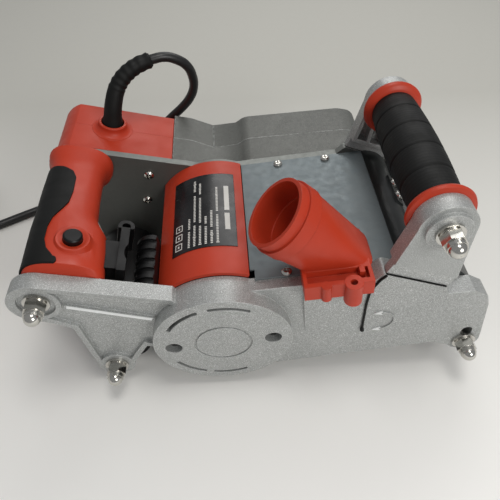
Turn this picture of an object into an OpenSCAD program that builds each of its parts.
// Wall chaser: a hand-held machine that cuts a wiring slot in a wall with a stack of diamond blades.
// Millimetres. Everything is drawn in the machine's own axes, then stand_up() pitches it nose-up
// and lifts it, because the blades reach below the sole and the machine rests on them and on its
// rear roller. Machine axes: origin on the motor axis at the outer face of the right end disc,
// +X towards the front handle, +Y from the right side to the left side, +Z away from the wall.

/* [Motor end] */
// Radius of the round end disc of the right side casting
disc_r = 50; // [49:0.5:52]
// Thickness of the end disc
disc_wall = 5; // [4:0.5:6]
// Radius of the ring of vent slots in the end disc
vent_r = 42; // [40:0.5:43]

/* [Widths along the motor axis] */
// Outer face of the front panel of the right casting
panel_y = 7; // [6:0.5:9]
// Outer face of the rear arm rim of the right casting
arm_y = 9; // [8:0.5:10]
// Inner face of the right casting
right_back_y = 21.5; // [20:0.5:23]
// Inner face of the left side plate
left_y = 141; // [140:0.5:142]
// Outer face of the left side plate, where the gear case is bolted on
case_y = 147; // [146:0.5:148]
// Parting line between gear case and gear cover
parting_y = 177; // [175:0.5:179]
// Outer face of the gear cover
cover_end_y = 211; // [208:0.5:214]

/* [Blades] */
// Blade radius
blade_r = 55; // [53:0.5:55]
// Number of blades in the stack
blade_count = 5; // [2:1:5]
// Distance between neighbouring blades
blade_pitch = 8; // [7:0.5:8]
// Blade thickness at the diamond rim
blade_t = 2.4; // [2:0.1:3]

/* [Rollers] */
// Rear roller radius
rear_roller_r = 24.5; // [23:0.5:25]
// Front roller radius
front_roller_r = 16; // [14:0.5:16]
// Travel of the front roller axle, which sets the cutting depth
depth_travel = 13; // [8:1:13]

/* [Gears] */
// Gear module
gear_module = 1.5; // [1.5:0.1:1.5]
// Teeth on the motor pinion
pinion_teeth = 16; // [16:1:16]
// Teeth on the idler gear
idler_teeth = 42; // [42:1:42]
// Teeth on the blade spindle gear
output_teeth = 36; // [36:1:36]
// Face width of the gears
gear_width = 12; // [10:1:14]

/* [Front handle] */
// Handle axis, forward position
grip_x = 145; // [143:0.5:147]
// Handle axis, height
grip_z = 87.5; // [85:0.5:89]
// Largest radius of the rubber sleeve
grip_r = 18.5; // [17:0.5:19]

/* [Rear handle] */
// Tilt of the handle's section, following the rear arm
handle_tilt = -20; // [-22:1:-18]
// Travel of the trigger
trigger_travel = 6; // [4:0.5:6]
// Travel of the lock button
button_travel = 3; // [2:0.5:3]

/* [Dust port] */
// Outer radius of the hose mouth
mouth_r = 24; // [23:0.5:25]
// Bore radius of the hose mouth
mouth_bore_r = 21.5; // [20.5:0.5:22]
// Angle of the hose mouth's axis above the sole, pointing rearward
mouth_rise = 47; // [45:1:50]

/* [Cord] */
// Radius of the mains cord
cord_r = 4; // [3.5:0.25:4]

/* [Hidden] */
$fn = 64;

// Colours
red = [0.78, 0.24, 0.15];
cast_silver = [0.68, 0.69, 0.68];
cast_grey = [0.42, 0.43, 0.41];
sheet_steel = [0.52, 0.56, 0.58];
black = [0.08, 0.08, 0.09];
nickel = [0.75, 0.73, 0.68];
bright = [0.8, 0.8, 0.82];
copper = [0.72, 0.42, 0.22];

// Small gap between parts that move against each other, and between parts that only meet
gap = 0.3;
meet = 0.1;
eps = 0.5;

// Axes in the machine's own plane, as [x, z]
handle_bolt = [-115, 57];
button_at = [-94.9, 43.5, 60.3];
port_screw_at = [90.3, -1.4];
rear_axle_at = [-87, -28];
front_axle_at = [183, -45];
axle_r = 4;
nut_flats = 13;
train_angle = -9.6;
idler_dist = gear_module * (pinion_teeth + idler_teeth) / 2;
spindle_dist = idler_dist + gear_module * (idler_teeth + output_teeth) / 2;
idler_at = idler_dist * [cos(train_angle), sin(train_angle)];
spindle_at = spindle_dist * [cos(train_angle), sin(train_angle)];
gear_y = 156;
blade_mid_y = 100;
stack_half = (blade_count - 1) * blade_pitch / 2;

// Standing attitude: the floor touches the rear roller and the blades
axle_gap = spindle_at - rear_axle_at;
pitch = asin((blade_r - rear_roller_r) / norm(axle_gap)) - atan2(axle_gap[1], axle_gap[0]);
floor_drop = rear_axle_at[0] * sin(pitch) + rear_axle_at[1] * cos(pitch) - rear_roller_r;
// Middle of the machine's own length and width, which the origin stands under
mid_x = 31.94;
mid_y = 99.46;

// The mains cord, in the standing part's own axes, z up from the floor. The boot points up out of
// its collar, the cord turns over and down across the rear handle and runs away over the floor to
// a coil. Points on the centre line; the boot's radius is given for each of its points.
boot_route = [
    [-118.5, 77.5, 125.5], [-117.5, 77.5, 130], [-116.5, 77.8, 134.5], [-115.3, 79, 140.5],
    [-113.6, 81.3, 147], [-111.3, 84.4, 153.5], [-107.5, 88, 160], [-101, 92.3, 166],
    [-92, 96.7, 170.5], [-81, 101, 173]
];
boot_radii = [9, 9, 8.3, 7.7, 7.5, 7.3, 7, 6.7, 6.4, 6];
cord_route = [
    [-81, 101, 173], [-70, 104, 173.5], [-60, 106.5, 169.5], [-52.5, 109.5, 162], [-49, 112.5, 151],
    [-49, 115.5, 139], [-53, 117.5, 128], [-61, 119.5, 117], [-72, 121, 106], [-85, 123, 92],
    [-99, 126, 75], [-112, 129, 57], [-124, 131.5, 40], [-136, 133.5, 25], [-149, 134.5, 13],
    [-164, 134, 6.5], [-181, 131, 4], [-199, 124.5, 4], [-217, 115, 4], [-236, 104.5, 4],
    [-255, 93.5, 4], [-274, 82.5, 4], [-288, 74.5, 4], [-303, 66, 4]
];
coil_at = [-329, 110];
tail_route = [[-277, 110, 12], [-277, 96, 13], [-277, 83, 15], [-277, 71, 18], [-277, 62, 19]];
plug_at = [-277, 62, 19];

module stand_up() {
    translate([-mid_x, -mid_y, -floor_drop])
        rotate([0, -pitch, 0])
            children();
}

// ---------- shared shapes ----------

// Extrude a profile drawn in x and z between two stations along the motor axis
module along_y(y0, y1) {
    translate([0, y1, 0])
        rotate([90, 0, 0])
            linear_extrude(y1 - y0)
                children();
}

// Round bar parallel to the motor axis
module bar(at, r, y0, y1) {
    along_y(y0, y1)
        translate(at)
            circle(r);
}

// Turned part on an axis parallel to the motor axis; the profile is [radius, y]
module turned(at) {
    translate([at[0], 0, at[1]])
        rotate([-90, 0, 0])
            rotate_extrude()
                children();
}

module tube(at, r_out, r_in, y0, y1) {
    difference() {
        bar(at, r_out, y0, y1);
        bar(at, r_in, y0 - eps, y1 + eps);
    }
}

// Rounded corners on a profile: convex corners get radius r
module soft(r) {
    offset(r = r, $fn = 24)
        offset(delta = -r)
            children();
}

// Pan head screw whose shank points along -z, head above z = 0
module pan_screw(head_r, shank_r, shank) {
    difference() {
        union() {
            cylinder(r = head_r, h = head_r * 0.35);
            translate([0, 0, head_r * 0.35])
                cylinder(r1 = head_r, r2 = head_r * 0.6, h = head_r * 0.3);
        }
        translate([0, 0, head_r * 0.55])
            cube([head_r * 1.1, 0.9, head_r * 0.6], center = true);
        translate([0, 0, head_r * 0.55])
            cube([0.9, head_r * 1.1, head_r * 0.6], center = true);
    }
    translate([0, 0, -shank])
        cylinder(r = shank_r, h = shank);
}

// Acorn nut with washer: the washer's back is at z = 0 and the dome points along +z
module acorn_nut(hole_r) {
    difference() {
        union() {
            cylinder(r = 8.8, h = 1.8);
            translate([0, 0, 1.8])
                cylinder(r = 6.6, h = 1);
            translate([0, 0, 2.8])
                cylinder(r = nut_flats / 2 / cos(30), h = 6.5, $fn = 6);
            translate([0, 0, 9.3])
                cylinder(r = 6, h = 3.2);
            translate([0, 0, 12.5])
                sphere(5.5, $fn = 48);
        }
        translate([0, 0, -1])
            cylinder(r = hole_r, h = 10);
    }
}

module nut_right(at, y) {
    translate([at[0], y, at[1]])
        rotate([90, 0, 0])
            acorn_nut(axle_r + 0.05);
}

module nut_left(at, y) {
    translate([at[0], y, at[1]])
        rotate([-90, 0, 0])
            acorn_nut(axle_r + 0.05);
}

// One ring of a loft: a squared oval in an x-z plane. e = 2 is an ellipse, larger is boxier
function sgn_pow(v, k) = sign(v) * pow(abs(v), k);
function oval_ring(y, c, a, b, tilt, e, n) = [
    for (i = [0 : n - 1])
        let (t = 360 * i / n, u = a * sgn_pow(cos(t), 2 / e), v = b * sgn_pow(sin(t), 2 / e))
            [c[0] + u * cos(tilt) - v * sin(tilt), y, c[1] + u * sin(tilt) + v * cos(tilt)]
];

// Closed skin over a list of rings that all have n points
module loft(rings) {
    n = len(rings[0]);
    m = len(rings);
    points = [for (ring = rings) for (q = ring) q];
    sides = [
        for (k = [0 : m - 2]) for (i = [0 : n - 1])
            let (a = k * n + i, b = k * n + (i + 1) % n, c = b + n, d = a + n)
                each [[a, b, c], [a, c, d]]
    ];
    caps = [[for (i = [n - 1 : -1 : 0]) i], [for (i = [0 : n - 1]) (m - 1) * n + i]];
    polyhedron(points, concat(sides, caps));
}

// Round tube swept along a list of points, with one ring and one radius for each point
function unit(v) = v / norm(v);
function heading(path, k) = unit(path[min(k + 1, len(path) - 1)] - path[max(k - 1, 0)]);
function carried(path, k, v) = unit(v - (v * heading(path, k)) * heading(path, k));
function carry_along(path, start, k = 0, done = []) =
    k == len(path) ? done : carry_along(
        path, start, k + 1, concat(done, [carried(path, k, k == 0 ? start : done[k - 1])])
    );
module sweep(path, radii, sides, start = [0, 0, 1]) {
    side = carry_along(path, start);
    loft([
        for (k = [0 : len(path) - 1])
            let (n = side[k], b = cross(n, heading(path, k)))
                [for (i = [0 : sides - 1])
                    let (a = 360 * i / sides)
                        path[k] + radii[k] * (cos(a) * n + sin(a) * b)]
    ]);
}

// ---------- outlines of the two side castings ----------

module panel_outline() {
    soft(3)
        polygon([
            [0, 43.4], [105, 43.4], [112.5, 50.5], [156, 28.5], [158.5, 20], [178, 19.5],
            [188, 12], [191, 2], [195.5, -43], [171, -50], [158, -44], [35, -49], [0, -20]
        ]);
    translate(front_axle_at)
        circle(12.5);
}

module arm_outline() {
    polygon([
        [-28, 45], [-108.7, 74.4], [-121, 39.5], [-114, 36], [-101.5, 25.3], [-101, -28],
        [-73, -28], [-58, -7], [-44, -14], [0, 0]
    ]);
    translate(handle_bolt)
        circle(18.5);
    translate(rear_axle_at)
        circle(14);
}

module depth_slot(r) {
    translate(front_axle_at)
        circle(r);
    translate(front_axle_at + [0, depth_travel])
        circle(r);
    translate(front_axle_at + [-r, 0])
        square([2 * r, depth_travel]);
}

module vent_arc(a0, a1) {
    steps = 12;
    intersection() {
        difference() {
            circle(vent_r + 1.5);
            circle(vent_r - 1.5);
        }
        polygon(concat([[0, 0]], [
            for (i = [0 : steps])
                let (a = a0 + (a1 - a0) * i / steps)
                    60 * [cos(a), sin(a)]
        ]));
    }
}

// ---------- right side casting ----------

module right_side_plate() {
    color(cast_silver)
        difference() {
            union() {
                bar([0, 0], disc_r, 0, right_back_y);
                along_y(panel_y, right_back_y)
                    difference() {
                        panel_outline();
                        circle(disc_r - 1);
                    }
                along_y(arm_y, right_back_y)
                    difference() {
                        arm_outline();
                        circle(disc_r - 1);
                    }
                // boss for the near screw of the top cover
                translate([45, 20, 34])
                    cube([10, 7, 9.4]);
            }
            // inside of the motor barrel, with a boss for the rear bearing and for each end screw
            difference() {
                bar([0, 0], disc_r - 4.5, disc_wall, right_back_y + eps);
                bar([0, 0], 15, 0, 13);
                for (side = [-1, 1])
                    bar([36 * side, 0], 7.6, 0, 12);
            }
            bar([0, 0], 11.02, disc_wall + 0.5, right_back_y);
            // back pockets of the front panel and of the rear arm
            along_y(13, right_back_y + eps)
                difference() {
                    offset(delta = -4)
                        panel_outline();
                    circle(disc_r);
                    translate(front_axle_at)
                        circle(16);
                    translate([176, -16])
                        square([20, 4]);
                }
            along_y(17, right_back_y + eps)
                difference() {
                    offset(delta = -4)
                        arm_outline();
                    circle(disc_r);
                    translate(rear_axle_at)
                        circle(12);
                }
            // outer recess of the rear arm, leaving a rim, the handle boss and the lower boss
            along_y(arm_y - eps, 12)
                difference() {
                    offset(delta = -4)
                        arm_outline();
                    circle(disc_r);
                    translate(handle_bolt)
                        circle(16);
                    translate(rear_axle_at)
                        circle(12.5);
                }
            bar(handle_bolt, 12.5, arm_y - eps, 11.5);
            // wedge-shaped relief between the disc and the step line of the front panel
            difference() {
                translate([20, panel_y, -8])
                    rotate([-4.2, 0, 0])
                        translate([0, -20, 0])
                            cube([39.5, 20, 60]);
                bar([0, 0], disc_r, -1, right_back_y);
            }
            // end disc: vents, ring groove and the two screw sinks
            along_y(-eps, disc_wall + eps) {
                vent_arc(148, 107);
                vent_arc(97, 57);
                vent_arc(208, 244);
                vent_arc(252, 288);
            }
            tube([0, 0], 21, 19.2, -eps, 1.2);
            for (side = [-1, 1]) {
                bar([36 * side, 0], 6.2, -eps, 7);
                bar([36 * side, 0], 2.6, 0, right_back_y);
            }
            bar(handle_bolt, axle_r + 0.05, 0, right_back_y + eps);
            bar(rear_axle_at, axle_r + 0.05, 0, right_back_y + eps);
            along_y(0, right_back_y + eps)
                depth_slot(axle_r + gap);
            front_arm_screws_at()
                cylinder(r = arm_screw_r + 0.05, h = 24, center = true);
            translate([50, 22, 34])
                cylinder(r = 1.95, h = 12);
        }
    // raised rib across the rear arm
    color(cast_silver)
        translate([-99, 0, 50.5])
            rotate([0, 26, 0])
                translate([0, 9.6, -2])
                    cube([60, 2.9, 4]);
}

// Screws that hold each front arm down on its side casting, seen from the sloping seam
seam_a = [112.5, 50.5];
seam_b = [156, 28.5];
seam_slope = atan2(seam_b[1] - seam_a[1], seam_b[0] - seam_a[0]);
seam_up = [-sin(seam_slope), cos(seam_slope)];
arm_screw_r = 1.6;
module front_arm_screws_at() {
    for (t = [0.3, 0.72])
        translate([
            seam_a[0] + t * (seam_b[0] - seam_a[0]), panel_y + 3, seam_a[1] + t * (seam_b[1] - seam_a[1])
        ])
            rotate([0, -seam_slope, 0])
                children();
}

module end_screws() {
    color(nickel)
        for (side = [-1, 1])
            translate([36 * side, 6.9, 0])
                rotate([90, 0, 0])
                    pan_screw(4.8, 2.5, 12);
}

// ---------- front arms: right one drawn, left one mirrored ----------

arm_face_y = 6;
arm_back_y = 18;
seat_h = 13;
module front_arm_outline() {
    polygon([
        seam_a + 10 * seam_up, [129.5, 96.5], [145, 105.5], [163, 87.5], seam_b + 10 * seam_up
    ]);
    translate([grip_x, grip_z])
        circle(18);
}

module front_arm_foot() {
    polygon([
        seam_a + 1.1 * seam_up, seam_a + 11 * seam_up, seam_b + 11 * seam_up, seam_b + 1.1 * seam_up
    ]);
}

module front_arm() {
    difference() {
        union() {
            along_y(arm_face_y, arm_back_y)
                front_arm_outline();
            along_y(panel_y, panel_y + 6)
                front_arm_foot();
            bar([grip_x, grip_z], 14, 3, arm_face_y + eps);
        }
        // channel in the inner side, with two ribs left standing
        along_y(arm_face_y + 3, arm_back_y + eps)
            difference() {
                offset(delta = -3)
                    difference() {
                        front_arm_outline();
                        translate([grip_x, grip_z])
                            circle(17);
                    }
                for (shift = [0, 13])
                    translate([125 + shift, 40])
                        rotate(-12)
                            square([2.5, 50]);
            }
        bar([grip_x, grip_z], axle_r + 0.05, 2, 20);
        // screw holes and the pockets their heads sit in
        front_arm_screws_at() {
            cylinder(r = arm_screw_r + 0.05, h = 30);
            translate([0, 0, seat_h])
                cylinder(r = 3.3, h = 8);
        }
    }
}

mirror_y = panel_y + case_y;
module to_left_side() {
    translate([0, mirror_y, 0])
        mirror([0, 1, 0])
            children();
}

module right_front_arm() {
    color(cast_silver)
        front_arm();
}

module left_front_arm() {
    color(cast_silver)
        to_left_side()
            front_arm();
}

module arm_screws() {
    color(nickel)
        for (left = [false, true])
            translate([0, left ? mirror_y : 0, 0])
                mirror([0, left ? 1 : 0, 0])
                    front_arm_screws_at()
                        translate([0, 0, seat_h])
                            pan_screw(2.9, arm_screw_r, seat_h + 10);
}

// ---------- left side plate ----------

module left_outline() {
    difference() {
        union() {
            soft(3)
                polygon([
                    [-31, 55.6], [-16, 50.8], [0, 44.9], [105, 44.9], [112.5, 50.5], [156, 28.5],
                    [158.5, 20], [178, 19.5], [188, 12], [191, 2], [195.5, -43], [171, -50],
                    [158, -44], [35, -49], [-31, -46], [-87, -42], [-101, -38], [-111, -26],
                    [-112, 33], [-126, 48], [-128, 62], [-124, 76], [-112, 82.4]
                ]);
            circle(disc_r);
            translate(front_axle_at)
                circle(12.5);
            translate(rear_axle_at)
                circle(14);
        }
        circle(20.3);
        translate(spindle_at)
            circle(22.3);
        depth_slot(axle_r + gap);
    }
}

module left_side_plate() {
    color(cast_grey)
        difference() {
            along_y(left_y, case_y)
                left_outline();
            bar(handle_bolt, axle_r + 0.05, left_y - eps, case_y + eps);
            bar(rear_axle_at, axle_r + 0.05, left_y - eps, case_y + eps);
            to_left_side()
                front_arm_screws_at()
                    cylinder(r = arm_screw_r + 0.05, h = 24, center = true);
            for (q = inner_wall_screws)
                bar(q, 2.1, left_y - eps, case_y + eps);
            for (q = case_screws)
                bar(q, 2.1, left_y - eps, case_y + eps);
        }
}

// ---------- gear case and cover ----------

inner_wall_screws = [[-52, 47], [-60, 20]];
case_screws = [[-23, 45], [45, 36], [119, 32], [126.5, -44], [-20, -42]];

module case_outline() {
    soft(12)
        polygon([
            [-10, 20], [32, 45], [118, 42], [134.5, 37], [134.5, -52], [60, -52], [-10, -50]
        ]);
    polygon([[-30.7, 55.2], [-16, 50.4], [20, 30], [0, -49], [-30.7, -40]]);
    intersection() {
        circle(53.5);
        translate([-30.7, -60])
            square([60, 100]);
    }
}

module gear_chambers() {
    circle(16);
    translate(idler_at)
        circle(34);
    translate(spindle_at)
        circle(29.4);
}

module screw_posts() {
    for (q = case_screws)
        translate(q)
            circle(5);
}

module gear_case() {
    color(cast_grey)
        difference() {
            union() {
                along_y(case_y + meet, parting_y)
                    case_outline();
                bar([0, 0], 20, left_y + 0.5, case_y + eps);
                bar(spindle_at, 22, left_y + 0.5, case_y + eps);
            }
            along_y(152, parting_y + eps)
                gear_chambers();
            // light pockets around the gear chambers
            along_y(152, parting_y + eps)
                difference() {
                    offset(delta = -4)
                        case_outline();
                    offset(delta = 3.5)
                        gear_chambers();
                    screw_posts();
                }
            bar([0, 0], 14.02, left_y, 151);
            bar([0, 0], 9, left_y, 153);
            bar(spindle_at, 17.52, left_y, 151.5);
            bar(spindle_at, 10, left_y, 153);
            bar(idler_at, 5.02, 148.5, 153);
            for (q = case_screws)
                bar(q, 2.1, case_y - 1, parting_y + 1);
        }
}

module gear_cover() {
    color(cast_grey)
        difference() {
            along_y(parting_y + meet, cover_end_y)
                case_outline();
            difference() {
                along_y(parting_y - eps, cover_end_y - 4)
                    offset(delta = -4)
                        case_outline();
                bar([0, 0], 14, parting_y + meet, cover_end_y);
                bar(idler_at, 9, parting_y + meet, cover_end_y);
                bar(spindle_at, 19.5, parting_y + meet, cover_end_y);
                along_y(parting_y + meet, cover_end_y)
                    screw_posts();
            }
            bar([0, 0], 11.02, parting_y, 184.5);
            bar(idler_at, 5.02, parting_y, 190);
            bar(spindle_at, 16.02, parting_y, 188.5);
            for (q = case_screws)
                bar(q, 2.1, parting_y - 1, cover_end_y + 1);
        }
}

module gear_cover_screws() {
    color(nickel)
        for (q = case_screws)
            translate([q[0], cover_end_y + meet, q[1]])
                rotate([-90, 0, 0])
                    pan_screw(4.5, 2, 60);
}

// ---------- motor ----------

cover_r = 53;
module ring_sector(r_out, r_in, a0, a1) {
    steps = 16;
    intersection() {
        difference() {
            circle(r_out, $fn = 128);
            circle(r_in, $fn = 128);
        }
        polygon(concat([[0, 0]], [
            for (i = [0 : steps])
                let (a = a0 + (a1 - a0) * i / steps)
                    90 * [cos(a), sin(a)]
        ]));
    }
}

module motor_cover() {
    color(red)
        along_y(right_back_y + 0.2, left_y - 0.2) {
            ring_sector(cover_r, cover_r - 2.6, 61.9, 141);
            // side wall that drops beside the motor
            translate([-41.2, 23.2])
                square([2.4, 10.3]);
        }
}

module rating_label() {
    color(black)
        along_y(46, 124)
            ring_sector(cover_r + 0.45, cover_r + 0.05, 69.5, 123);
}

module motor_housing() {
    color(black) {
        tube([0, 0], 45, 42, 22, left_y - 0.5);
        // brush lobe beside the rear handle, with cooling ribs
        difference() {
            union() {
                along_y(24, 72)
                    intersection() {
                        union() {
                            translate([-47.5, 36])
                                circle(9.5);
                            translate([-57, -8])
                                square([15, 44]);
                        }
                        translate([-60, -10])
                            square([18.2, 60]);
                    }
                for (k = [0 : 4])
                    along_y(30 + 9 * k, 33 + 9 * k)
                        intersection() {
                            translate([-47.5, 37])
                                circle(10.5);
                            translate([-60, 30])
                                square([18.2, 22]);
                        }
            }
            bar([0, 0], 44, 20, 80);
            along_y(21.5, 70)
                translate([-54.5, -5])
                    square([10, 38]);
        }
    }
}

module stator_core() {
    color(cast_grey)
        difference() {
            bar([0, 0], 41.8, 42, 98);
            bar([0, 0], 27, 41, 99);
            for (side = [-1, 1])
                along_y(41, 99)
                    translate([0, 32.5 * side])
                        square([32.6, 7.6], center = true);
        }
}

module field_coils() {
    color(copper)
        for (side = [-1, 1])
            translate([0, 0, 32.5 * side])
                difference() {
                    translate([-16, 36, -3.5])
                        cube([32, 65, 7]);
                    translate([-9, 41.9, -5])
                        cube([18, 56.2, 10]);
                }
}

module race(at, r_out, r_in, y0, y1) {
    difference() {
        bar(at, r_out, y0, y1);
        bar(at, r_in, y0 - eps, y1 + eps);
        // shield groove on both faces
        tube(at, r_out - 2, r_in + 1.8, y0 - eps, y0 + 0.6);
        tube(at, r_out - 2, r_in + 1.8, y1 - 0.6, y1 + eps);
    }
}

module motor_bearings() {
    color(bright) {
        race([0, 0], 11, 4.04, 5.6, 12.6);
        race([0, 0], 14, 6.04, 143, 151);
        race([0, 0], 11, 4.04, parting_y + 0.3, 184.3);
    }
}

// Two brush holders face each other across the commutator
module brush_place() {
    for (a = [0, 180])
        translate([0, 28, 0])
            rotate([0, a, 0])
                children();
}

module brush_holders() {
    color(nickel)
        brush_place()
            difference() {
                translate([17, -5, -5.5])
                    cube([23.5, 10, 11]);
                translate([16, -3.2, -3.7])
                    cube([26, 6.4, 7.4]);
            }
}

module carbon_brushes() {
    color([0.2, 0.2, 0.2])
        brush_place()
            translate([15.3, -3, -3.5])
                cube([12, 6, 7]);
}

module spring_coil(r, wire, turns, length) {
    per_turn = 10;
    sides = 6;
    rings = turns * per_turn;
    loft([
        for (k = [0 : rings])
            let (t = 360 * k / per_turn, x = length * k / rings)
                [for (i = [0 : sides - 1])
                    let (s = 360 * i / sides, q = r + wire * cos(s))
                        [x + wire * sin(s), q * cos(t), q * sin(t)]]
    ]);
}

module brush_springs() {
    color(bright)
        brush_place()
            translate([28.4, 0, 0])
                spring_coil(2.2, 0.4, 5, 11);
}

module armature_shaft() {
    color(bright) {
        bar([0, 0], 4, 5.8, 18);
        bar([0, 0], 6, 18, 152.5);
        bar([0, 0], 4, 152.5, 184);
    }
}

module armature_core() {
    color(cast_grey)
        difference() {
            bar([0, 0], 26, 45, 95);
            bar([0, 0], 6, 44, 96);
            for (k = [0 : 11])
                along_y(44, 96)
                    rotate(30 * k)
                        translate([18, -1.5])
                            square([9, 3]);
        }
}

module commutator() {
    color(copper)
        difference() {
            bar([0, 0], 15, 19, 38);
            bar([0, 0], 6, 18, 39);
            for (k = [0 : 23])
                along_y(18, 34)
                    rotate(15 * k)
                        translate([14, -0.3])
                            square([2, 0.6]);
        }
}

module cooling_fan() {
    color(black)
        difference() {
            union() {
                bar([0, 0], 36, 103, 105.5);
                bar([0, 0], 11, 103, 115);
                for (k = [0 : 8])
                    rotate([0, 40 * k, 0])
                        translate([10, 105, -1])
                            cube([25, 9, 2]);
            }
            bar([0, 0], 6, 102, 116);
        }
}

// ---------- gear train ----------

// Involute spur gear profile centred on the origin, one tooth pointing along +x
function involute(base_r, t) = base_r * [
    cos(t) + t * PI / 180 * sin(t), sin(t) - t * PI / 180 * cos(t)
];
function involute_angle(base_r, r) = let (t = sqrt(pow(r / base_r, 2) - 1) * 180 / PI)
    t - atan(t * PI / 180);
function turn(q, a) = [q[0] * cos(a) - q[1] * sin(a), q[0] * sin(a) + q[1] * cos(a)];
function flip(q) = [q[0], -q[1]];

module gear_profile(teeth, backlash = 0.18) {
    pitch_r = gear_module * teeth / 2;
    base_r = pitch_r * cos(20);
    tip_r = pitch_r + 0.92 * gear_module;
    root_r = pitch_r - 1.2 * gear_module;
    start_r = max(base_r, root_r);
    half = 90 / teeth - backlash / 2 / pitch_r * 180 / PI;
    shift = half + involute_angle(base_r, pitch_r);
    flank = [
        for (i = [0 : 3])
            let (r = start_r + (tip_r - start_r) * i / 3, t = sqrt(pow(r / base_r, 2) - 1) * 180 / PI)
                turn(involute(base_r, t), -shift)
    ];
    root = root_r * [cos(-shift), sin(-shift)];
    tooth = concat([root], flank, [for (i = [3 : -1 : 0]) flip(flank[i])], [flip(root)]);
    polygon([for (k = [0 : teeth - 1]) for (q = tooth) turn(q, 360 * k / teeth)]);
}

// Angles that put a tooth of one gear in a gap of the next along the line of centres
idler_phase = train_angle + 180 + 180 / idler_teeth;
output_phase = train_angle + 180 + 180 / output_teeth
    - (idler_phase - train_angle) * idler_teeth / output_teeth;

module pinion() {
    color(bright)
        along_y(gear_y - 1, gear_y + gear_width + 1)
            rotate(train_angle)
                difference() {
                    gear_profile(pinion_teeth);
                    circle(4);
                }
}

module gear_body(at, teeth, phase, hub_r, bore_r, web_r) {
    difference() {
        union() {
            along_y(gear_y, gear_y + gear_width)
                translate(at)
                    rotate(phase)
                        gear_profile(teeth);
            bar(at, hub_r, gear_y - 2.5, gear_y + gear_width + 2.5);
        }
        bar(at, bore_r, gear_y - 5, gear_y + gear_width + 5);
        tube(at, web_r, hub_r + 1, gear_y - eps, gear_y + 2.5);
        tube(at, web_r, hub_r + 1, gear_y + gear_width - 2.5, gear_y + gear_width + eps);
    }
}

module idler_gear() {
    color(bright)
        gear_body(idler_at, idler_teeth, idler_phase, 10, 5.05, 26);
}

module idler_shaft() {
    color(nickel)
        bar(idler_at, 5, 148.6, 189.5);
}

module output_gear() {
    color(bright)
        gear_body(spindle_at, output_teeth, output_phase, 13, 8.5, 21);
}

// ---------- blade spindle ----------

stack_lo = blade_mid_y - stack_half - blade_t / 2;
stack_hi = blade_mid_y + stack_half + blade_t / 2;

module spindle() {
    color(bright) {
        bar(spindle_at, 7, stack_lo - 15, stack_lo - 5);
        bar(spindle_at, 11, stack_lo - 5, stack_hi);
        bar(spindle_at, 20, stack_hi, stack_hi + 5);
        bar(spindle_at, 12, stack_hi + 5, left_y + 0.8);
        bar(spindle_at, 8.5, left_y + 0.8, 175);
        bar(spindle_at, 6, 175, 188);
    }
}

module spindle_bearings() {
    color(bright) {
        race(spindle_at, 17.5, 8.54, 142, 151.4);
        race(spindle_at, 16, 6.04, parting_y + 0.4, 188.4);
    }
}

module blade(y) {
    difference() {
        bar(spindle_at, blade_r, y - blade_t / 2, y + blade_t / 2);
        bar(spindle_at, 11.02, y - 5, y + 5);
        // the steel core is thinner than the diamond rim
        tube(spindle_at, blade_r - 8, 21, y - 3, y - 0.9);
        tube(spindle_at, blade_r - 8, 21, y + 0.9, y + 3);
        for (k = [0 : 11])
            along_y(y - 3, y + 3)
                translate(spindle_at)
                    rotate(30 * k + 15) {
                        translate([blade_r - 9, -1])
                            square([12, 2]);
                        translate([blade_r - 9, 0])
                            circle(2.2, $fn = 24);
                    }
    }
}

module blades() {
    color([0.6, 0.6, 0.62])
        for (k = [0 : blade_count - 1])
            blade(blade_mid_y - stack_half + k * blade_pitch);
}

module blade_spacers() {
    color(bright) {
        for (k = [0 : blade_count - 2])
            let (y = stack_lo + k * blade_pitch)
                tube(spindle_at, 18, 11.02, y + blade_t + 0.02, y + blade_pitch - 0.02);
        // outer clamping flange
        difference() {
            bar(spindle_at, 20, stack_lo - 7, stack_lo - 0.02);
            bar(spindle_at, 11.02, stack_lo - 5.1, stack_lo + 1);
            bar(spindle_at, 7.05, stack_lo - 8, stack_lo);
        }
    }
}

module blade_nut() {
    color(nickel)
        difference() {
            along_y(stack_lo - 14, stack_lo - 7.05)
                translate(spindle_at)
                    circle(22 / 2 / cos(30), $fn = 6);
            bar(spindle_at, 7.03, stack_lo - 20, stack_lo);
        }
}

// ---------- covers over the blade chamber ----------

cover_top = 45;
cover_sheet = 1.4;
port_x0 = 59;
port_x1 = 103.5;
module top_cover() {
    color(sheet_steel)
        difference() {
            translate([25.4, 19, cover_top - cover_sheet])
                cube([100, left_y - meet - 19, cover_sheet]);
            // notch beside the motor barrel
            translate([20, 10, cover_top - 3])
                cube([8.5, 17.5, 5]);
            // notch beside the rise of the right side plate
            translate([104, 10, cover_top - 3])
                cube([30, right_back_y + 0.3 - 10, 5]);
            // suction opening under the dust port
            translate([66, 24, cover_top - 3])
                cube([30, 18, 5]);
            for (q = cover_screw_at)
                translate([q[0], q[1], cover_top - 3])
                    cylinder(r = 2.1, h = 5);
        }
}

cover_screw_at = [[56, 136], [95, 136], [50, 22]];
module cover_screws() {
    color(nickel) {
        for (q = cover_screw_at)
            translate([q[0], q[1], cover_top + meet])
                pan_screw(3.6, 1.9, 2.4);
        for (q = inner_wall_screws)
            translate([q[0], left_y - meet, q[1]])
                rotate([90, 0, 0])
                    pan_screw(4, 1.9, 5);
        for (y = guard_screw_y)
            translate([guard_bracket[0], y, guard_bracket[1]])
                rotate([0, 50, 0])
                    translate([0, 0, 2.1])
                        pan_screw(4, 1.9, 3);
    }
}

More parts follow.
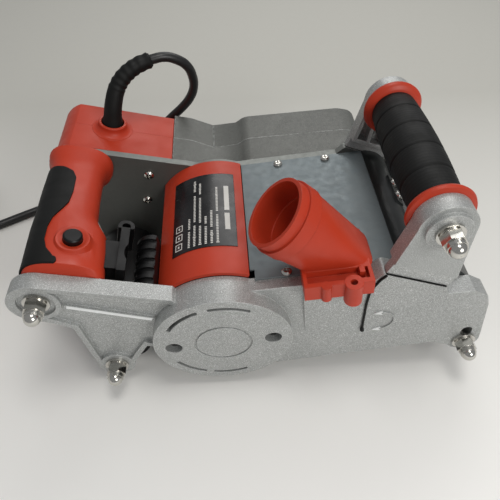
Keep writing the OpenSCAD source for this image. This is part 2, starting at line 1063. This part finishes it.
guard_screw_y = [90, 104];
guard_bracket = [142.6, 36.5];
module front_guard() {
    color(black)
        difference() {
            union() {
                along_y(right_back_y + 0.3, left_y - 0.3) {
                    difference() {
                        intersection() {
                            translate([125.7, 22])
                                circle(23, $fn = 96);
                            translate([125.7, 30])
                                square([30, 20]);
                        }
                        translate([125.7, 22])
                            circle(20.6, $fn = 96);
                    }
                    polygon([
                        [144.5, 30], [147.3, 30.6], [171, 24.6], [180.5, 14], [187.4, -9],
                        [185, -9.8], [178, 13], [169.6, 22.2], [146.4, 28.2]
                    ]);
                }
                // bracket strip that carries the two guard screws
                translate([guard_bracket[0], 82, guard_bracket[1]])
                    rotate([0, 50, 0])
                        translate([-4, 0, -0.2])
                            cube([8, 30, 2.2]);
            }
            for (y = guard_screw_y)
                translate([guard_bracket[0], y, guard_bracket[1]])
                    rotate([0, 50, 0])
                        translate([0, 0, -6])
                            cylinder(r = 2, h = 12);
        }
}

// ---------- seam gasket with its loose tail ----------

// Tail of the gasket as [x, z, height above the panel face, radius], ending in a small bead
tail = [
    [113.4, 49.6, 0.9, 0.85], [110, 46, 0.9, 0.85], [106.6, 40, 0.9, 0.85], [103.8, 33, 0.9, 0.85],
    [102.4, 20, 0.9, 0.85], [101.8, 2, 0.9, 0.85], [101.4, -9, 1.2, 0.85], [101.3, -10.5, 1.7, 1.5],
    [101.3, -12.5, 1.7, 1.5], [101.3, -13.4, 1.7, 0.8]
];
module seam_gasket() {
    color(black) {
        difference() {
            translate([seam_a[0], 0, seam_a[1]])
                rotate([0, -seam_slope, 0])
                    translate([0.6, panel_y - 0.9, 0.2])
                        cube([47.2, 6.8, 0.7]);
            front_arm_screws_at()
                cylinder(r = 2, h = 10, center = true);
        }
        sweep([for (q = tail) [q[0], panel_y - q[2], q[1]]], [for (q = tail) q[3]], 12, [1, 0, 0]);
    }
}

// ---------- dust port ----------

mouth_at = [45.5, 33, 92];
mouth_dir = [-cos(mouth_rise), 0, sin(mouth_rise)];
mouth_len = 16;
// Ring across the mouth's axis, set back from the mouth by d
function mouth_ring(d, r, n) = [
    for (i = [0 : n - 1])
        let (t = 360 * i / n + 45, u = r * cos(t), v = -r * sin(t))
            mouth_at - d * mouth_dir + [u * sin(mouth_rise), v, u * cos(mouth_rise)]
];
function base_ring(z, x0, x1, y0, y1, e, n) = [
    for (i = [0 : n - 1])
        let (t = 360 * i / n + 45)
            [(x0 + x1) / 2 + (x1 - x0) / 2 * sgn_pow(cos(t), 2 / e),
             (y0 + y1) / 2 - (y1 - y0) / 2 * sgn_pow(sin(t), 2 / e), z]
];
function mix(p, q, k) = [for (i = [0 : len(p) - 1]) p[i] * (1 - k) + q[i] * k];
module funnel(base, top, steps) {
    loft([for (k = [0 : steps]) mix(base, top, k / steps)]);
}

module port_solid() {
    n = 48;
    funnel(base_ring(53, 59.6, 106.8, 11, 46, 5, n), mouth_ring(mouth_len - 2.3, mouth_r + 0.9, n), 4);
    // flange over the cover, and the base block sunk in front of the funnel
    translate([port_x0, 18, 45.1])
        cube([port_x1 - port_x0, 27.5, 9]);
    difference() {
        translate([port_x0, -2, 43.6])
            cube([port_x1 - port_x0, 20.9, 13.2]);
        translate([port_x0 + 2.5, 1.4, 51])
            cube([port_x1 - port_x0 - 5, 9, 10]);
    }
    // post in the sunk part, and the two bosses on the front
    translate([95.5, 6, 50])
        cube([3.5, 8, 7]);
    translate([port_screw_at[0], port_screw_at[1], 38.5])
        cylinder(r = 6, h = 18.5);
    translate([73, -1.5, 43.6])
        cylinder(r = 3.5, h = 13.2);
}

module dust_port() {
    color(red)
        difference() {
            union() {
                port_solid();
                translate(mouth_at)
                    rotate([0, -(90 - mouth_rise), 0]) {
                        translate([0, 0, -mouth_len])
                            cylinder(r = mouth_r + 1.6, h = mouth_len - 6.4);
                        translate([0, 0, -mouth_len + 2])
                            cylinder(r = mouth_r, h = mouth_len - 2);
                    }
            }
            // duct: straight bore at the mouth, then a funnel down to the suction opening
            translate(mouth_at)
                rotate([0, -(90 - mouth_rise), 0])
                    translate([0, 0, -mouth_len - 2])
                        cylinder(r = mouth_bore_r, h = mouth_len + 4);
            funnel(
                base_ring(44, 66, 97, 24, 42, 6, 48),
                mouth_ring(mouth_len - 1, mouth_bore_r - 0.4, 48), 4
            );
            translate([port_screw_at[0], port_screw_at[1], 30])
                cylinder(r = 2.3, h = 40);
        }
}

module port_screw() {
    color(nickel)
        translate([port_screw_at[0], port_screw_at[1], 36]) {
            cylinder(r1 = 1, r2 = 2.2, h = 2);
            translate([0, 0, 2])
                cylinder(r = 2.2, h = 12);
        }
}

// ---------- front handle ----------

module front_handle_rod() {
    color(nickel)
        bar([grip_x, grip_z], axle_r, -5, mirror_y + 5);
}

collar_w = 7;
module grip_collars() {
    color(red)
        for (side = [0, 1])
            translate([0, side * mirror_y, 0])
                mirror([0, side, 0])
                    turned([grip_x, grip_z])
                        polygon([
                            [axle_r + 0.05, arm_back_y + meet], [18, arm_back_y + meet],
                            [21.2, arm_back_y + 1.2], [21.7, arm_back_y + 3],
                            [20.8, arm_back_y + 4.8], [17.2, arm_back_y + collar_w],
                            [axle_r + 0.05, arm_back_y + collar_w]
                        ]);
}

module grip_sleeve() {
    y0 = arm_back_y + collar_w + 0.1;
    y1 = mirror_y - y0;
    half = (y1 - y0) / 2;
    mid = (y0 + y1) / 2;
    // barrel-shaped sleeve with shallow grooves
    function bulge(u) = grip_r - 2.2 * u * u;
    grooves = [-0.62, -0.2, 0.24, 0.66];
    outer = [for (u = [-1 : 0.1 : 1.001]) [bulge(u), mid + u * half]];
    color(black)
        difference() {
            turned([grip_x, grip_z])
                polygon(concat([[axle_r + 0.05, y0]], outer, [[axle_r + 0.05, y1]]));
            for (u = grooves)
                let (y = mid + u * half)
                    tube([grip_x, grip_z], grip_r + 2, bulge(u) - 0.5, y - 0.5, y + 0.5);
        }
}

module acorn_nuts() {
    color(nickel) {
        nut_right(handle_bolt, 11.4);
        nut_right(rear_axle_at, arm_y - meet);
        nut_right([grip_x, grip_z], 3 - meet);
        nut_left(handle_bolt, case_y + 3 + meet);
        nut_left(rear_axle_at, case_y + meet);
        nut_left([grip_x, grip_z], mirror_y - 3 + meet);
    }
}

// ---------- rear handle ----------

// Stations along the handle: y, centre x, centre z, half width, half depth
handle_stations = [
    [21.8, -98, 57.5, 27, 15.5], [24.5, -98, 60, 26.6, 18], [30, -98, 61, 26, 19.2],
    [45, -98.5, 61.2, 26, 19.5], [60, -99.5, 61.6, 25.4, 19.3], [68, -101.5, 62.6, 23, 18.4],
    [76, -103.2, 63.4, 21, 17.4], [100, -104, 64, 20.4, 16.8], [122, -104, 64.2, 20, 16.6],
    [131, -103.5, 64.4, 21, 17.2], [135.5, -103, 64.5, 24, 19.2], [140.8, -103, 64.5, 25, 20]
];
module handle_loft(grow, n = 32) {
    loft([
        for (s = handle_stations)
            oval_ring(s[0], [s[1], s[2]], s[3] + grow, s[4] + grow, handle_tilt, 2.5, n)
    ]);
}

module handle_shell() {
    difference() {
        union() {
            handle_loft(0);
            handle_axes(button_at)
                translate([0, 0, 14])
                    cylinder(r1 = 14.5, r2 = 10.8, h = 6.8);
        }
        handle_axes(button_at)
            translate([0, 0, 19.6])
                cylinder(r1 = 7.2, r2 = 10.2, h = 1.4);
        intersection() {
            handle_loft(-2.6);
            translate([-150, 24.5, 20])
                cube([100, 113.5, 90]);
        }
        bar(handle_bolt, axle_r + 0.2, 20, 145);
        // window for the trigger stem
        handle_axes([-98.5, 46, 61.2])
            translate([0, -13.5, -7.5])
                cube([40, 27, 15]);
        // hole for the lock button
        handle_axes(button_at)
            cylinder(r = 6.6, h = 40);
    }
}

// Axes of the handle's section: x across the handle towards the trigger, z out of its top
module handle_axes(at) {
    translate(at)
        rotate([0, -handle_tilt, 0])
            children();
}

module handle_half(up) {
    intersection() {
        handle_shell();
        handle_axes([-101, 20, 62.5])
            translate([-60, 0, up ? 0.05 : -60])
                cube([120, 122, up ? 60 : 59.95]);
    }
}

module rear_handle_top() {
    color(red)
        handle_half(true);
}

module rear_handle_bottom() {
    color(red)
        handle_half(false);
}

// Edge of the rubber in the handle's axes: it sweeps round the lock button to a tip at the near end
module overmold_outline() {
    offset(2)
        offset(-4)
            offset(2)
                polygon([
                    [-45, 24.2], [7, 24.2], [5, 26.4], [-3.5, 28.4], [-8.5, 34.5], [-11.2, 43], [-11.4, 54],
                    [-9.6, 63], [-5, 72.5], [-2, 80], [-1, 92], [-1.4, 107], [-4.5, 113.5], [-11, 117.5],
                    [-19, 119.8], [-45, 121]
                ]);
}

module handle_overmold() {
    color(black)
        difference() {
            intersection() {
                handle_loft(1.3);
                handle_axes([-101, 0, 62.5])
                    translate([0, 0, -40])
                        linear_extrude(80)
                            overmold_outline();
            }
            handle_loft(0.02);
        }
}

module rear_handle_rod() {
    color(nickel)
        bar(handle_bolt, axle_r, 2.6, case_y + 11);
}

module switch_module() {
    color(black)
        handle_axes([-98.5, 45, 61.2]) {
            translate([-7, -15, -9])
                cube([14, 30, 15]);
            translate([-5, 15, -3])
                cube([1.5, 6, 4]);
            translate([3, 15, -3])
                cube([1.5, 6, 4]);
        }
}

module trigger() {
    color(black)
        handle_axes([-98.5, 46, 61.2]) {
            // stem into the switch
            translate([8 + trigger_travel, -12.5, -6.5])
                cube([20.5, 25, 13]);
            // finger plate with its hollow front
            difference() {
                translate([33.2, -17, -13])
                    cube([6.2, 40, 24]);
                translate([50.4, 0, -20])
                    cylinder(r = 13, h = 40);
            }
            // curled horn at the far end
            translate([36.5, 24, -13])
                difference() {
                    cylinder(r = 6, h = 24);
                    translate([0, 0, -1])
                        cylinder(r = 3, h = 30);
                    translate([-8, -10, -1])
                        cube([16, 8, 30]);
                }
        }
}

module lock_button() {
    color(black)
        handle_axes(button_at) {
            translate([0, 0, 10.4])
                cylinder(r = 6.3, h = 12.8);
            translate([0, 0, 23.2])
                cylinder(r1 = 6.3, r2 = 5.3, h = 1);
        }
}

// ---------- control box behind the rear handle ----------

box_end = [-104, 57];
box_end_r = 25;
// Ends of the box's sloping top
box_front = [-31.2, 55.2];
box_rear = [-108, 81.6];
box_slope = atan((box_rear[1] - box_front[1]) / (box_front[0] - box_rear[0]));
module box_outline() {
    rear_end = [
        for (a = [100 : 10 : 260])
            box_end + box_end_r * [cos(a), sin(a)]
    ];
    polygon(concat([box_front, box_rear], rear_end, [[-70, 16], [-31.2, 4]]));
}

// Collar that holds the boot of the mains cord: it stands on the box's top, over the parting line
collar_x = -79.6;
collar_y = parting_y - 0.3;
collar_r = 11.5;
collar_h = 7.5;
collar_fillet = 5;
module on_collar_axis() {
    translate([collar_x, collar_y, box_front[1] + (box_front[0] - collar_x) * tan(box_slope)])
        rotate([0, box_slope, 0])
            rotate([0, 0, 90])
                children();
}

module cable_collar(y0, y1) {
    foot = [
        for (a = [0 : 15 : 90])
            [collar_r + collar_fillet * (1 - sin(a)), 0.3 + collar_fillet * (1 - cos(a))]
    ];
    intersection() {
        on_collar_axis()
            rotate_extrude($fn = 96)
                polygon(concat(
                    [[0, -2.9], [collar_r + collar_fillet, -2.9]], foot,
                    [[collar_r, collar_h - 0.7], [collar_r - 0.7, collar_h], [0, collar_h]]
                ));
        translate([-150, y0, 0])
            cube([150, y1 - y0, 150]);
    }
}

module box_inside() {
    along_y(case_y + 3, 203)
        offset(delta = -3)
            box_outline();
    on_collar_axis()
        cylinder(r = 9.4, h = 60, center = true);
}

module control_box() {
    color(red)
        difference() {
            union() {
                along_y(case_y + meet, parting_y)
                    box_outline();
                cable_collar(case_y + meet, parting_y);
            }
            box_inside();
            bar(handle_bolt, axle_r + 0.1, case_y - 1, case_y + 5);
        }
}

module control_box_lid() {
    color(red)
        difference() {
            union() {
                along_y(parting_y + meet, 206)
                    box_outline();
                cable_collar(parting_y + meet, 206);
            }
            box_inside();
        }
}

// ---------- mains cord ----------

module cable_boot() {
    color(black)
        sweep(boot_route, boot_radii, 12, [0, 1, 0]);
}

module cord_lead() {
    color(black) {
        sweep(cord_route, [for (q = cord_route) cord_r], 12);
        sweep(tail_route, [for (q = tail_route) cord_r], 12);
    }
}

// Two layers of three turns
module cord_coil() {
    color(black)
        translate([coil_at[0], coil_at[1], 0])
            rotate_extrude()
                translate([8 * cord_r, 0])
                    square([6 * cord_r, 4 * cord_r]);
}

// Two-pin plug lying on the floor
module mains_plug() {
    translate(plug_at)
        rotate([90, 0, 0]) {
            color(black) {
                rotate_extrude()
                    polygon([
                        [0, 0], [5.5, 0], [8, 20], [12, 24], [17, 28], [18.5, 34], [18.5, 52], [0, 52]
                    ]);
            }
            color(nickel)
                for (side = [-1, 1])
                    translate([side * 9.5, 0, 51])
                        cylinder(r = 2.4, h = 20);
        }
}

// ---------- rollers ----------

module rear_axle() {
    color(nickel)
        bar(rear_axle_at, axle_r, 0, case_y + 8);
}

module roller(at, r) {
    difference() {
        bar(at, r, 28, 134);
        bar(at, axle_r + 0.06, 20, 140);
        tube(at, r - 4, 9, 24, 40);
        tube(at, r - 4, 9, 122, 138);
    }
}

module rear_roller() {
    color(black)
        roller(rear_axle_at, rear_roller_r);
}

module front_axle() {
    color(nickel)
        bar(front_axle_at, axle_r, -2, case_y + 9);
}

module front_axle_nuts() {
    color(nickel) {
        nut_right(front_axle_at, panel_y - gap);
        nut_left(front_axle_at, case_y + gap);
        // locating collars on the inner side of each plate
        tube(front_axle_at, 9, axle_r + 0.02, right_back_y + gap, 26);
        tube(front_axle_at, 9, axle_r + 0.02, 136, left_y - gap);
    }
}

module front_roller() {
    color(black)
        roller(front_axle_at, front_roller_r);
}

// ---------- assembly ----------

stand_up() right_side_plate();
stand_up() end_screws();
stand_up() right_front_arm();
stand_up() left_side_plate();
stand_up() left_front_arm();
stand_up() gear_case();
stand_up() gear_cover();
stand_up() gear_cover_screws();
stand_up() motor_cover();
stand_up() rating_label();
stand_up() motor_housing();
stand_up() arm_screws();
stand_up() stator_core();
stand_up() field_coils();
stand_up() motor_bearings();
stand_up() brush_holders();
stand_up() carbon_brushes();
stand_up() brush_springs();
stand_up() idler_shaft();
stand_up() spindle_bearings();
stand_up() top_cover();
stand_up() cover_screws();
stand_up() front_guard();
stand_up() seam_gasket();
stand_up() dust_port();
stand_up() port_screw();
stand_up() front_handle_rod();
stand_up() grip_sleeve();
stand_up() grip_collars();
stand_up() acorn_nuts();
stand_up() rear_handle_top();
stand_up() rear_handle_bottom();
stand_up() handle_overmold();
stand_up() rear_handle_rod();
stand_up() switch_module();
stand_up() control_box();
stand_up() control_box_lid();
stand_up() rear_axle();
cable_boot();
cord_lead();
cord_coil();
mains_plug();
stand_up() trigger();
stand_up() lock_button();
stand_up() armature_shaft();
stand_up() armature_core();
stand_up() commutator();
stand_up() cooling_fan();
stand_up() pinion();
stand_up() idler_gear();
stand_up() spindle();
stand_up() output_gear();
stand_up() blades();
stand_up() blade_spacers();
stand_up() blade_nut();
stand_up() front_axle();
stand_up() front_axle_nuts();
stand_up() front_roller();
stand_up() rear_roller();
